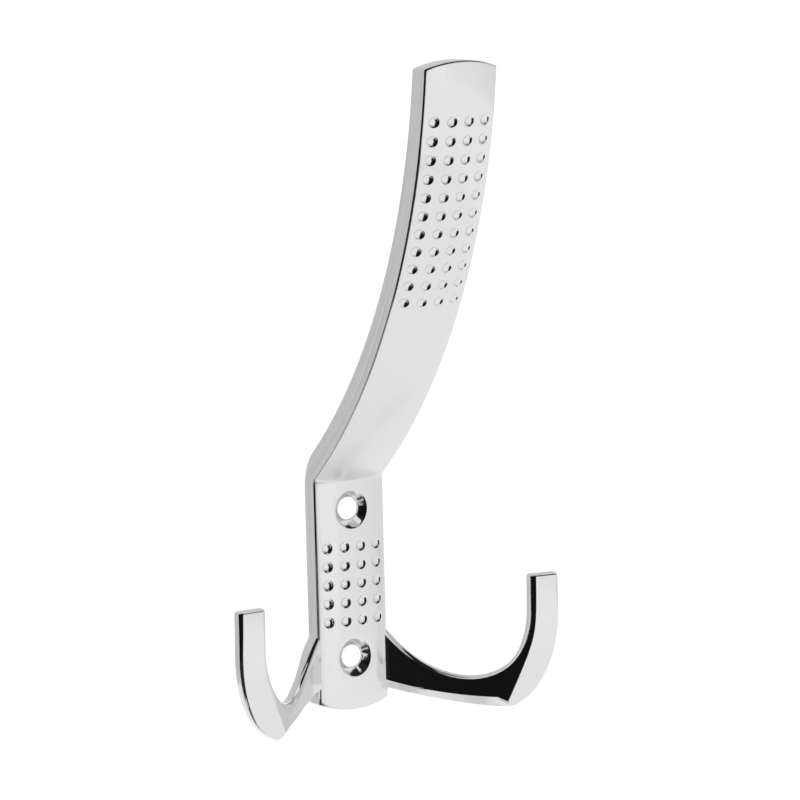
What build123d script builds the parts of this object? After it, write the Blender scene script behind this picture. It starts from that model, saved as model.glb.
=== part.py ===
"""Die-cast coat hook: a screwed wall plate, a dimpled upper arm and two side prongs in one piece.

Millimetres. X runs across the hook, +Z is up, the wall is the plane Y = 0 and the hook stands out towards -Y.
The origin lies on the wall, halfway between the two screw holes.
"""

import os
from math import acos, asin, cos, degrees, radians, sin, sqrt, tan

from build123d import *

# Bar: the plate and the arm share one width and one crowned front.
bar_width = 17.0
crown_radius = 30.0
edge_radius = 0.5
end_radius = 24.0

# Wall plate.
plate_thickness = 5.4
plate_foot = 27.3

# Upper arm: one long arc that leans out of the plate at the crease and grows steeper towards its top.
crease_height = 22.2
crease_radius = 1.2
arm_lean = 52.0
arm_radius = 132.4
arm_top = 112.75
arm_thickness = 6.2
bend_radius = 11.0

# Screw holes, countersunk from the front.
hole_spacing = 32.0
hole_diameter = 4.8
sink_diameter = 8.3
sink_angle = 90.0

# Dimples: one pitch both ways. The arm's rows are measured along its front from the crease.
dimple_pitch = 4.0
dimple_columns = 4
dimple_mouth = 2.3
dimple_depth = 0.5
plate_dimple_rows = 5
arm_dimple_rows = 11
arm_dimple_start = 53.8

# Side prongs, front view: root on the plate's side, run, bend and upturned tip.
root_top = -10.7
root_foot = -23.6
knee_reach = 5.2
knee_drop = 6.1
valley_reach = 14.2
valley_level = -21.25
sole_reach = 18.6
sole_level = -27.35
tip_inner_reach = 23.6
tip_width = 6.8
tip_top = 0.6
inner_bend_start = -7.5
outer_bend_start = -8.0

# Side prongs, seen from above: a fin that heads out at an angle, then a tip that nearly faces the room.
fin_heading = 45.0
fin_thickness = 2.5
fin_offset = 1.94
fin_flare_reach = 5.5
fin_flare_depth = 4.0
fin_back_reach = 3.5
fin_back_depth = 0.3
tip_turn = 5.0
tip_front = 25.9
tip_lean = 4.8
tip_thickness = 2.7
brow_radius = 1.8
fold_radius = 2.0

# Side prongs, rounded rims.
prong_edge_radius = 1.1
tip_end_radius = 0.6
sharp_angle = 8.0

# Cutting tools and roots run on past the faces that they serve.
margin = 10.0
root_sink = 1.5

half_width = bar_width / 2
lean = radians(arm_lean)
arm_centre_y = arm_radius * cos(lean) - plate_thickness
arm_centre_z = crease_height + arm_radius * sin(lean)


def sag(half_chord, radius):
    """Drop of an arc from its crown to the end of a half chord."""
    return radius - sqrt(radius**2 - half_chord**2)


def crowned_section(thickness):
    """Section across the bar: flat back on the x axis, crowned front at the given thickness."""
    side = thickness - sag(half_width, crown_radius)
    with BuildSketch() as section:
        with BuildLine():
            Polyline((half_width, side), (half_width, 0), (-half_width, 0), (-half_width, side))
            ThreePointArc((-half_width, side), (0, thickness), (half_width, side))
        make_face()
    return section.sketch


def bar_front_outline():
    """Front view of the bar: two long sides and two bowed ends."""
    drop = sag(half_width, end_radius)
    with BuildSketch(Plane.XZ) as outline:
        with BuildLine():
            Line((-half_width, drop - plate_foot), (-half_width, arm_top - drop))
            ThreePointArc((-half_width, arm_top - drop), (0, arm_top), (half_width, arm_top - drop))
            Line((half_width, arm_top - drop), (half_width, drop - plate_foot))
            ThreePointArc((half_width, drop - plate_foot), (0, -plate_foot), (-half_width, drop - plate_foot))
        make_face()
    return outline.sketch


def bar_side_outline():
    """Side view of all that lies in front of the bar's back: wall face, round bend and hollow of the arm."""
    back_radius = arm_radius - arm_thickness
    bend_angle = acos(arm_centre_y / back_radius)
    bend_z = arm_centre_z - back_radius * sin(bend_angle)
    far_y = arm_centre_y - arm_radius - margin
    low = -plate_foot - margin
    with BuildSketch(Plane.YZ) as outline:
        with BuildLine():
            Line((0, low), (0, bend_z))
            RadiusArc((0, bend_z), (arm_centre_y - back_radius, arm_centre_z), back_radius)
            Polyline(
                (arm_centre_y - back_radius, arm_centre_z), (far_y, arm_centre_z), (far_y, low), (0, low)
            )
        make_face()
        fillet(outline.vertices().sort_by_distance((0, 0, bend_z))[0], bend_radius)
    return outline.sketch


def build_bar():
    """Plate and arm with their crowned front, bowed ends and rounded edges."""
    low = -plate_foot - margin
    plate_plane = Plane((0, 0, low), x_dir=(-1, 0, 0), z_dir=(0, 0, 1))
    plate = extrude(plate_plane * crowned_section(plate_thickness), crease_height + margin - low)
    arm_back = (0, arm_centre_y - arm_radius + arm_thickness, arm_centre_z)
    arm_plane = Plane(arm_back, x_dir=(-1, 0, 0), z_dir=(0, 0, 1))
    arm_axis = Axis((0, arm_centre_y, arm_centre_z), (1, 0, 0))
    arm_sweep = degrees(acos(arm_centre_y / arm_radius))
    bar = plate + revolve(arm_plane * crowned_section(arm_thickness), arm_axis, arm_sweep)
    bar &= extrude(bar_side_outline(), half_width + margin, both=True)
    bar &= extrude(bar_front_outline(), arm_radius, both=True)
    crease = bar.edges().sort_by_distance((0, -plate_thickness, crease_height))[0]
    bar = fillet(crease, crease_radius)
    sides = bar.faces().filter_by(Axis.X).edges()
    tops = bar.edges().group_by(Axis.Z)[-1]
    feet = bar.edges().group_by(Axis.Z)[0]
    return fillet(sides + tops + feet, edge_radius)


def build_screw_holes():
    """Two round holes through the plate, each with a cone that opens to the front."""
    slope = tan(radians(sink_angle / 2))
    sink_depth = (sink_diameter - hole_diameter) / 2 / slope
    cone_length = sink_depth + margin
    hole = Pos(0, 0, plate_thickness / 2) * Cylinder(hole_diameter / 2, plate_thickness + margin)
    hole += Pos(0, 0, plate_thickness - sink_depth + cone_length / 2) * Cone(
        hole_diameter / 2, hole_diameter / 2 + cone_length * slope, cone_length
    )
    heights = (-hole_spacing / 2, hole_spacing / 2)
    return [Plane((0, 0, z), x_dir=(1, 0, 0), z_dir=(0, -1, 0)) * hole for z in heights]


def centred(count):
    """Places of a row of dimples about its middle."""
    return [(i - (count - 1) / 2) * dimple_pitch for i in range(count)]


def build_dimples():
    """Balls that press the dimples into the crowned front of the plate and of the arm."""
    ball_radius = (dimple_mouth**2 / 4 + dimple_depth**2) / (2 * dimple_depth)
    reach = crown_radius + ball_radius - dimple_depth
    balls = []
    for column in centred(dimple_columns):
        tilt = asin(column / crown_radius)
        x = reach * sin(tilt)
        height = reach * cos(tilt) - crown_radius
        for z in centred(plate_dimple_rows):
            balls.append(Pos(x, -plate_thickness - height, z) * Sphere(ball_radius))
        for row in range(arm_dimple_rows):
            angle = lean - (arm_dimple_start + row * dimple_pitch) / arm_radius
            y = arm_centre_y - (arm_radius + height) * cos(angle)
            z = arm_centre_z - (arm_radius + height) * sin(angle)
            balls.append(Pos(x, y, z) * Sphere(ball_radius))
    return balls


def prong_front_outline():
    """Front view of the right prong, from inside the plate to the tip."""
    root = half_width - root_sink
    root_high = root_top + root_sink * knee_drop / knee_reach
    valley = half_width + valley_reach
    sole = half_width + sole_reach
    inner = half_width + tip_inner_reach
    outer = inner + tip_width
    inner_rise = inner_bend_start - valley_level
    outer_rise = outer_bend_start - sole_level
    with BuildSketch(Plane.XZ) as outline:
        with BuildLine():
            Spline(
                (root, root_high),
                (half_width + knee_reach, root_top - knee_drop),
                (valley, valley_level),
                tangents=[(knee_reach, -knee_drop), (1, 0)],
            )
            EllipticalCenterArc((valley, inner_bend_start), inner - valley, inner_rise, 270, arc_size=90)
            Polyline((inner, inner_bend_start), (inner, tip_top), (outer, tip_top), (outer, outer_bend_start))
            EllipticalCenterArc((sole, outer_bend_start), outer - sole, outer_rise, 270, arc_size=90)
            TangentArc((sole, sole_level), (root, root_foot), tangent=(-1, 0))
            Line((root, root_foot), (root, root_high))
        make_face()
    return outline.sketch


def fin_point(offset, reach):
    """Point of the right fin seen from above: x away from the middle, y towards the room.

    The offset is square to the fin, from the plate's back corner, and the reach is from the plate's side.
    """
    heading = radians(fin_heading)
    start_x = half_width - offset * sin(heading)
    start_y = offset * cos(heading)
    return half_width + reach, start_y + (half_width + reach - start_x) * tan(heading)


def tip_point(depth, reach, level):
    """Point of the right tip seen from above at a level.

    The depth is behind its front, and the reach is from the plate's side.
    """
    turn = radians(tip_turn)
    lean_back = (tip_top - level) * tan(radians(tip_lean))
    middle = tip_inner_reach + tip_width / 2
    return half_width + reach, tip_front - lean_back - depth / cos(turn) + (reach - middle) * tan(turn)


def fin_meets_tip(offset, depth, level):
    """Corner seen from above where a face of the right fin meets a face of the tip."""
    heading = tan(radians(fin_heading))
    gap = tip_point(depth, 0, level)[1] - fin_point(offset, 0)[1]
    return fin_point(offset, gap / (heading - tan(radians(tip_turn))))


def prong_plan(level):
    """Right prong seen from above at a level: flared root, fin, bend and tip."""
    inwards = (-cos(radians(fin_heading)), -sin(radians(fin_heading)))
    back_offset = fin_offset - fin_thickness
    far = tip_inner_reach + tip_width + margin
    root = half_width - root_sink
    flare = fin_point(fin_offset, fin_flare_reach)
    back = fin_point(back_offset, fin_back_reach)
    brow = fin_meets_tip(fin_offset, 0, level)
    fold = fin_meets_tip(back_offset, tip_thickness, level)
    plane = Plane((0, 0, level), x_dir=(1, 0, 0), z_dir=(0, 0, -1))
    with BuildSketch() as plan:
        with BuildLine():
            TangentArc(flare, (root, fin_flare_depth), tangent=inwards)
            Line((root, fin_flare_depth), (root, fin_back_depth))
            TangentArc(back, (root, fin_back_depth), tangent=inwards)
            Polyline(back, fold, tip_point(tip_thickness, far, level), tip_point(0, far, level), brow, flare)
        make_face()
        fillet(plan.vertices().sort_by_distance((*fold, 0))[0], fold_radius)
        fillet(plan.vertices().sort_by_distance((*brow, 0))[0], brow_radius)
    return plane * plan.sketch


def sharp_edges(solid):
    """Edges where two faces meet at an angle."""
    faces_of = {}
    for face in solid.faces():
        for edge in face.edges():
            faces_of.setdefault(edge, []).append(face)
    sharp = []
    for edge, faces in faces_of.items():
        middle = edge.position_at(0.5)
        if len(faces) == 2 and faces[0].normal_at(middle).get_angle(faces[1].normal_at(middle)) > sharp_angle:
            sharp.append(edge)
    return ShapeList(sharp)


def build_prong():
    """Right prong: a bent strip cut to one outline in front view and rounded all over."""
    strip = loft([prong_plan(sole_level - margin), prong_plan(tip_top + margin)], ruled=True)
    prong = strip & extrude(prong_front_outline(), tip_front + margin)
    end_level = tip_top - tip_end_radius
    rims = [e for e in sharp_edges(prong) if e.center().X > half_width and e.center().Z < end_level]
    prong = fillet(rims, prong_edge_radius)
    end = [e for e in sharp_edges(prong) if e.center().Z > end_level]
    return fillet(end, tip_end_radius)


os.makedirs("parts", exist_ok=True)

right_prong = build_prong()
coat_hook = build_bar() + right_prong + mirror(right_prong, about=Plane.YZ)
coat_hook -= build_screw_holes()
coat_hook -= build_dimples()

export_step(coat_hook, "parts/coat_hook.step")
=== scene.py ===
"""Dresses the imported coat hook: one polished chrome casting, a pale floor, studio light and the camera.

The casting is drawn again from its own rules, finely enough for a mirror finish: a crowned bar that runs
up the wall and leans out, dimples pressed into it, countersunk screw holes, and a bent prong on each side.
Sizes are in millimetres unless a name or a docstring says otherwise.
"""

import logging
import math
from dataclasses import dataclass, field
from enum import Enum

import bmesh
import bpy
import numpy as np
from mathutils import Matrix, Vector


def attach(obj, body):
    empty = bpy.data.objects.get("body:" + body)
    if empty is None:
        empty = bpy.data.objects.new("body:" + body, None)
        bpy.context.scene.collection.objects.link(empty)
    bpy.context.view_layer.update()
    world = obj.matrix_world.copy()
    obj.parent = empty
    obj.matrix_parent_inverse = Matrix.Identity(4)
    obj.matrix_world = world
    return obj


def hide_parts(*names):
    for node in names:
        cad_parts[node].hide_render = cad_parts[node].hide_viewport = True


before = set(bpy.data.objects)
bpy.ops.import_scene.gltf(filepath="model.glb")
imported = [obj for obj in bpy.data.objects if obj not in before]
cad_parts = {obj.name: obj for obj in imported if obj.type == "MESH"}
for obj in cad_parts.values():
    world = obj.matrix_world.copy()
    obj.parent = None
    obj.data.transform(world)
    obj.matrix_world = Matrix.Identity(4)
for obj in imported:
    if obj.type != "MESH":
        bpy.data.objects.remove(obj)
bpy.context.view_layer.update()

LOG = logging.getLogger("coat_hook")
MM = 0.001
NODE = "coat_hook"
WHITE = "#FFFFFF"


def linear(hex_colour: str) -> tuple[float, float, float, float]:
    """Turns an sRGB hex colour into linear light.

    Args:
        hex_colour: Six hex digits with a leading hash.

    Returns:
        Red, green and blue in linear light, and a full alpha.
    """
    values = [int(hex_colour[i : i + 2], 16) / 255 for i in (1, 3, 5)]
    lin = [v / 12.92 if v <= 0.04045 else ((v + 0.055) / 1.055) ** 2.4 for v in values]
    return lin[0], lin[1], lin[2], 1.0


def add_node(tree: bpy.types.NodeTree, kind: str, inputs: dict | None = None, **settings) -> bpy.types.Node:
    """Adds one node, sets its properties and fills or links its inputs.

    Args:
        tree: Node tree that gets the node.
        kind: Blender's name for the node.
        inputs: Input name or index to a plain value, or to the output socket that feeds it.
        **settings: Properties of the node.

    Returns:
        The new node.
    """
    node = tree.nodes.new(kind)
    for name, value in settings.items():
        setattr(node, name, value)
    for name, value in (inputs or {}).items():
        if isinstance(value, bpy.types.NodeSocket):
            tree.links.new(value, node.inputs[name])
        else:
            node.inputs[name].default_value = value
    return node


def new_material(name: str) -> bpy.types.Material:
    """Gives a material with an empty node tree."""
    material = bpy.data.materials.new(name)
    material.use_nodes = True
    material.node_tree.nodes.clear()
    return material


def new_object(name: str, data: bpy.types.ID) -> bpy.types.Object:
    """Puts a mesh or a camera into the scene as an object."""
    made = bpy.data.objects.new(name, data)
    bpy.context.scene.collection.objects.link(made)
    return made


def slerp(start: np.ndarray, end: np.ndarray, share: float) -> np.ndarray:
    """Turns unit vectors part of the way towards others.

    Args:
        start: Unit vectors, one a row.
        end: Unit vectors to turn to, one a row.
        share: How far to turn, from 0 to 1.

    Returns:
        The turned unit vectors.
    """
    angle = np.arccos(np.clip((start * end).sum(-1, keepdims=True), -1, 1))
    weight = np.sin(angle)
    return (np.sin((1 - share) * angle) * start + np.sin(share * angle) * end) / weight


class Shell:
    """Points and faces of one skin."""

    def __init__(self) -> None:
        """Starts with no points."""
        self.points: list[np.ndarray] = []
        self.faces: list[tuple[int, ...]] = []
        self.count = 0

    def add(self, points: np.ndarray) -> np.ndarray:
        """Adds points and gives their numbers, in the shape of the array without its last axis."""
        shape = points.shape[:-1]
        flat = points.reshape(-1, 3)
        ids = np.arange(self.count, self.count + len(flat)).reshape(shape)
        self.points.append(flat)
        self.count += len(flat)
        return ids

    def quads(self, ids: np.ndarray, keep: np.ndarray | None = None, closed: bool = False) -> None:
        """Joins a grid of points by four-sided faces.

        Args:
            ids: Point numbers, rows by columns.
            keep: Cells to fill, rows by columns; all of them if left out.
            closed: Whether the last column joins the first.
        """
        if closed:
            ids = np.concatenate([ids, ids[:, :1]], axis=1)
        cells = np.stack([ids[:-1, :-1], ids[:-1, 1:], ids[1:, 1:], ids[1:, :-1]], -1)
        chosen = cells[keep] if keep is not None else cells.reshape(-1, 4)
        self.faces.extend(tuple(int(i) for i in cell) for cell in chosen)

    def fan(self, ring: np.ndarray, centre: int) -> None:
        """Closes a ring of points with triangles to a middle point."""
        turned = np.roll(ring, -1)
        self.faces.extend((int(a), int(b), int(centre)) for a, b in zip(ring, turned))

    def append(self, points: np.ndarray, faces: list[tuple[int, ...]]) -> None:
        """Adds ready-made points with faces that count from the first of them."""
        first = self.count
        self.add(points)
        self.faces.extend(tuple(i + first for i in face) for face in faces)

    def mesh(self, name: str, unit: float = 1.0) -> bpy.types.Mesh:
        """Turns the skin into a mesh, with its lengths times a unit."""
        mesh = bpy.data.meshes.new(name)
        mesh.from_pydata((np.concatenate(self.points) * unit).tolist(), [], self.faces)
        return mesh

    def mirrored(self) -> "Shell":
        """Gives the same skin on the other side of the middle plane."""
        other = Shell()
        flip = np.array([-1.0, 1.0, 1.0])
        other.append(np.concatenate(self.points) * flip, [face[::-1] for face in self.faces])
        return other


class Ending(Enum):
    """The two bowed ends of the bar."""

    FOOT = -1
    TOP = 1


@dataclass(frozen=True)
class Dimples:
    """Round hollows pressed into the front, in rows and columns of one pitch.

    They have a flat floor, steep sides and a soft lip. A tile's rings are given in lips outwards from the
    mouth, and then as shares of the mouth's radius.
    """

    pitch: float = 4.0
    columns: int = 4
    mouth: float = 2.3
    depth: float = 0.42
    steepness: float = 3.6
    lip: float = 0.14
    lip_rings: tuple[float, ...] = (2.2, 1.1, 0.4, -0.3, -1.2)
    floor_rings: tuple[float, ...] = (0.74, 0.6, 0.45, 0.25)
    steps: int = 8

    @property
    def reach(self) -> float:
        """Distance from a dimple's middle at which its lip ends."""
        return self.mouth / 2 + self.lip_rings[0] * self.lip

    def sink(self, distance: np.ndarray) -> np.ndarray:
        """Depth of a dimple with a softened lip.

        Args:
            distance: Distances from the dimple's middle.

        Returns:
            Depth below the crowned front at each distance.
        """
        raw = self.depth * (1 - (2 * distance / self.mouth) ** self.steepness)
        softened = 0.5 * (raw + np.hypot(raw, self.lip / 3))
        return softened * (distance < self.reach)

    def tile(self, half_width: float) -> bpy.types.Object:
        """Makes one flat tile with a dimple in it, as a template.

        Args:
            half_width: Half of the tile's width across the bar.

        Returns:
            An object whose mesh holds across, along and depth as x, y and z.
        """
        side = np.linspace(-1, 1, self.steps + 1)
        low, high = np.full(self.steps, -1.0), np.full(self.steps, 1.0)
        across = np.concatenate([side[:-1], high, side[::-1][:-1], low]) * half_width
        along = np.concatenate([low, side[:-1], high, side[::-1][:-1]]) * self.pitch / 2
        edge = np.stack([across, along], -1)
        angle = np.arctan2(along / (self.pitch / 2), across / half_width)
        circle = np.stack([np.cos(angle), np.sin(angle)], -1)
        rim = self.mouth / 2
        shell = Shell()
        radii = [rim + lips * self.lip for lips in self.lip_rings]
        radii += [rim * share for share in self.floor_rings]
        rings = [edge, 0.5 * (edge + circle * self.reach), *(circle * radius for radius in radii)]
        levels = []
        for ring in rings:
            deep = -self.sink(np.hypot(ring[:, 0], ring[:, 1])) * (ring is not edge)
            levels.append(shell.add(np.column_stack([ring, deep])))
        shell.quads(np.stack(levels), closed=True)
        middle = shell.add(np.array([[0.0, 0.0, -float(self.sink(np.zeros(1))[0])]]))
        shell.fan(levels[-1], int(middle[0]))
        return new_object("dimple_tile", shell.mesh("dimple_tile"))

    def nodes(self, metal: bpy.types.Material) -> bpy.types.NodeTree:
        """Builds the node tree that lays tiles side by side in rows and columns.

        Args:
            metal: Finish that the tree puts on the tiles.

        Returns:
            A geometry node tree with the inputs Columns, Rows and Pitch.
        """
        tree = bpy.data.node_groups.new("dimple_rows", "GeometryNodeTree")
        for name, kind in (("Geometry", "Geometry"), ("Columns", "Int"), ("Rows", "Int"), ("Pitch", "Float")):
            tree.interface.new_socket(name, in_out="INPUT", socket_type=f"NodeSocket{kind}")
        tree.interface.new_socket("Geometry", in_out="OUTPUT", socket_type="NodeSocketGeometry")
        given = add_node(tree, "NodeGroupInput").outputs
        sizes = {}
        for name, axis in (("Columns", "X"), ("Rows", "Y")):
            gaps = add_node(tree, "ShaderNodeMath", {0: given[name], 1: 1.0}, operation="SUBTRACT")
            terms = {0: gaps.outputs[0], 1: given["Pitch"]}
            span = add_node(tree, "ShaderNodeMath", terms, operation="MULTIPLY")
            sizes[f"Size {axis}"] = span.outputs[0]
            sizes[f"Vertices {axis}"] = given[name]
        grid = add_node(tree, "GeometryNodeMeshGrid", sizes)
        laid = add_node(
            tree,
            "GeometryNodeInstanceOnPoints",
            {"Points": grid.outputs["Mesh"], "Instance": given["Geometry"]},
        )
        real = add_node(tree, "GeometryNodeRealizeInstances", {"Geometry": laid.outputs["Instances"]})
        dressed = add_node(
            tree,
            "GeometryNodeSetMaterial",
            {"Geometry": real.outputs["Geometry"], "Material": metal},
        )
        add_node(tree, "NodeGroupOutput", {"Geometry": dressed.outputs["Geometry"]})
        return tree

    def field(self, rows: int, half_width: float, metal: bpy.types.Material) -> tuple[np.ndarray, list]:
        """Lays a field of dimples out flat.

        Args:
            rows: Rows along the bar.
            half_width: Half of a tile's width across the bar.
            metal: Finish that the node tree puts on the tiles.

        Returns:
            Points as across, along and depth about the field's middle, and their faces.
        """
        tile = self.tile(half_width)
        tree = self.nodes(metal)
        modifier = tile.modifiers.new("rows", "NODES")
        modifier.node_group = tree
        values = {"Columns": self.columns, "Rows": rows, "Pitch": self.pitch}
        for item in tree.interface.items_tree:
            if item.in_out == "INPUT" and item.name in values:
                modifier[item.identifier] = values[item.name]
        bpy.context.view_layer.update()
        evaluated = tile.evaluated_get(bpy.context.evaluated_depsgraph_get())
        mesh = bpy.data.meshes.new_from_object(evaluated)
        tile.modifiers.remove(modifier)
        points = np.empty(len(mesh.vertices) * 3)
        mesh.vertices.foreach_get("co", points)
        faces = [tuple(polygon.vertices) for polygon in mesh.polygons]
        tile_mesh = tile.data
        bpy.data.objects.remove(tile)
        bpy.data.meshes.remove(tile_mesh)
        bpy.data.meshes.remove(mesh)
        bpy.data.node_groups.remove(tree)
        return points.reshape(-1, 3), faces


@dataclass(frozen=True)
class ScrewHole:
    """Countersunk hole: a cone that opens to the front, a thin land and a wider relief behind.

    Rings on the face, in the cone and on the back are shares of the way across. Rings on the lip are lips
    outwards from the mouth and lips deep.
    """

    spacing: float = 32.0
    diameter: float = 4.8
    sink: float = 8.3
    land: float = 0.4
    relief: float = 9.0
    lip: float = 0.15
    cone_edge: float = 0.08
    bore_edge: float = 0.06
    land_edge: float = 0.04
    relief_edge: float = 0.1
    back_edge: float = 0.15
    face_rings: tuple[float, ...] = (0.04, 0.2, 0.4, 0.6, 0.8)
    lip_rings: tuple[tuple[float, float], ...] = ((1.2, 0.0), (0.4, 0.1), (-0.2, 0.45))
    cone_rings: tuple[float, ...] = (0.12, 0.4, 0.7, 0.94)
    back_rings: tuple[float, ...] = (0.35, 0.7, 0.96)
    rim_rounds: int = 6

    @property
    def heights(self) -> tuple[float, float]:
        """Levels of the two holes."""
        return -self.spacing / 2, self.spacing / 2


@dataclass
class Bar:
    """Wall plate and upper arm: one crowned bar with a crease in front and a round bend behind."""

    width: float = 17.0
    crown: float = 30.0
    edge: float = 0.5
    end_bow: float = 24.0
    plate: float = 5.4
    foot: float = 27.3
    crease_height: float = 22.2
    crease_radius: float = 0.7
    lean: float = math.radians(52.0)
    radius: float = 132.4
    top: float = 112.75
    thickness: float = 6.2
    bend: float = 11.0
    plate_rows: int = 5
    arm_rows: int = 11
    arm_start: float = 53.8
    hole_reach: float = 5.6
    tile_gap: float = 0.1
    bend_gap: float = 0.01
    foot_lines: int = 6
    hole_lines: int = 12
    crease_lines: int = 10
    rise_lines: int = 4
    plain_lines: int = 33
    top_lines: int = 10
    edge_steps: int = 8
    side_steps: int = 4
    dimples: Dimples = field(default_factory=Dimples)
    hole: ScrewHole = field(default_factory=ScrewHole)

    def __post_init__(self) -> None:
        """Works out the arm's arcs, the rounded edges and the number of points on a flank."""
        self.centre_y = self.radius * math.cos(self.lean) - self.plate
        self.centre_z = self.crease_height + self.radius * math.sin(self.lean)
        self.back_radius = self.radius - self.thickness
        self.crease_half = self.crease_radius * math.tan(self.lean / 2)
        reach = self.back_radius + self.bend
        self.bend_z = self.centre_z - math.sqrt(reach**2 - (self.centre_y + self.bend) ** 2)
        self.bend_turn = math.acos((self.centre_y + self.bend) / reach)
        self.core_x = self.width / 2 - self.edge
        self.edge_tilt = math.asin(self.core_x / (self.crown - self.edge))
        self.corner = (self.crown - self.edge) * math.cos(self.edge_tilt) - self.crown
        self.front_half = self.crown * math.sin(self.edge_tilt)
        self.tile_half = self.dimples.pitch / 2 - self.tile_gap
        self.flank = 2 * self.edge_steps + self.side_steps

    def front_frame(self, along: np.ndarray) -> tuple[np.ndarray, np.ndarray]:
        """Middle line of the front.

        Args:
            along: Distances along the front from the crease, negative down the plate.

        Returns:
            Points on the middle line and unit vectors out of the front, as y and z.
        """
        along = np.asarray(along, float)
        half = self.crease_half
        turn = self.lean - half / self.radius
        angle = np.clip((along + half) / (2 * half), 0, 1) * turn
        angle = np.where(along > half, self.lean - along / self.radius, angle)
        facing = np.stack([-np.cos(angle), -np.sin(angle)], -1)
        plate = np.stack([np.full_like(along, -self.plate), self.crease_height + along], -1)
        hub = np.array([-self.plate - self.crease_radius, self.crease_height - half])
        crease = hub - facing * self.crease_radius
        arm = np.array([self.centre_y, self.centre_z]) + facing * self.radius
        above = np.where((along > half)[..., None], arm, crease)
        return np.where((along < -half)[..., None], plate, above), facing

    def on_front(self, across: np.ndarray, along: np.ndarray, depth: np.ndarray) -> np.ndarray:
        """Places points on or under the crowned front.

        Args:
            across: Places across the bar.
            along: Distances along the front from the crease.
            depth: Depth below the front, square to it.

        Returns:
            Points in millimetres.
        """
        middle, facing = self.front_frame(along)
        tilt = np.arcsin(np.clip(across / self.crown, -1, 1))
        reach = self.crown - depth
        x = reach * np.sin(tilt)
        height = reach * np.cos(tilt) - self.crown
        return np.concatenate([x[..., None], middle + facing * height[..., None]], -1)

    def back_frame(self, share: np.ndarray) -> tuple[np.ndarray, np.ndarray]:
        """Line of the back in side view.

        Args:
            share: Level on the plate below the bend; bend height plus 0 to 1 round the bend; then bend
                height plus one plus the angle along the arm.

        Returns:
            Points on the back and unit vectors out of it, as y and z.
        """
        share = np.asarray(share, float)
        turned = np.clip(share - self.bend_z, 0, 1) * self.bend_turn
        angle = np.where(share > self.bend_z + 1, self.bend_turn - (share - self.bend_z - 1), turned)
        facing = np.stack([np.cos(angle), np.sin(angle)], -1)
        plate = np.stack([np.zeros_like(share), share], -1)
        bend = np.array([-self.bend, self.bend_z]) + facing * self.bend
        arm = np.array([self.centre_y, self.centre_z]) - facing * self.back_radius
        on_arm = (share > self.bend_z + 1)[..., None]
        return np.where((share < self.bend_z)[..., None], plate, np.where(on_arm, arm, bend)), facing

    def columns(self) -> np.ndarray:
        """Places of the lines across the front, with the dimples' tiles between them."""
        places = (np.arange(self.dimples.columns) - (self.dimples.columns - 1) / 2) * self.dimples.pitch
        tile = np.linspace(-self.tile_half, self.tile_half, self.dimples.steps + 1)
        return np.concatenate([[-self.front_half], *(c + tile for c in places), [self.front_half]])

    def rows(self) -> tuple[np.ndarray, np.ndarray, dict[str, tuple[int, int]]]:
        """Fixed lines round the bar between its two ends.

        Returns:
            Places along the front, matching places along the back, and the first and last line of each zone.
        """
        pitch, steps = self.dimples.pitch, self.dimples.steps
        low, high = self.hole.heights
        plate_half = self.plate_rows * pitch / 2
        front: list[float] = []
        back: list[float] = []
        zones: dict[str, tuple[int, int]] = {}

        def zone(name: str, places: np.ndarray, behind: np.ndarray) -> None:
            """Adds the lines of one zone after those of the last."""
            start = max(len(front) - 1, 0)
            skip = 1 if front else 0
            front.extend(places[skip:])
            back.extend(behind[skip:])
            zones[name] = (start, len(front) - 1)

        def on_plate(name: str, start: float, end: float, count: int) -> None:
            """Adds level lines on the plate."""
            levels = np.linspace(start, end, count + 1)
            zone(name, levels - self.crease_height, levels)

        on_plate("low_hole", low - self.hole_reach, low + self.hole_reach, self.hole_lines)
        on_plate("low_gap", low + self.hole_reach, -plate_half, 1)
        on_plate("plate_dimples", -plate_half, plate_half, self.plate_rows * steps)
        on_plate("high_gap", plate_half, high - self.hole_reach, 1)
        last = min(high + self.hole_reach, self.crease_height - self.crease_half)
        levels = np.linspace(high - self.hole_reach, last, self.hole_lines + 1)
        behind = np.linspace(high - self.hole_reach, self.bend_z - self.bend_gap, self.hole_lines + 1)
        zone("high_hole", levels - self.crease_height, behind)
        arm_from = (self.lean - self.bend_turn) * self.radius
        crease = np.linspace(last - self.crease_height, self.crease_half, self.crease_lines + 1)
        rise = np.linspace(self.crease_half, arm_from, self.rise_lines + 1)
        bend = np.concatenate([crease, rise[1:]])
        zone("bend", bend, self.bend_z + np.linspace(-self.bend_gap, 1.0, len(bend)))
        first = self.arm_start - pitch / 2
        end = first + self.arm_rows * pitch
        plain = np.linspace(arm_from, first, self.plain_lines + 1)
        zone("plain", plain, self.bend_z + 1 + (plain - arm_from) / self.radius)
        dimpled = np.linspace(first, end, self.arm_rows * steps + 1)
        zone("arm_dimples", dimpled, self.bend_z + 1 + (dimpled - arm_from) / self.radius)
        return np.array(front), np.array(back), zones

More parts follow.
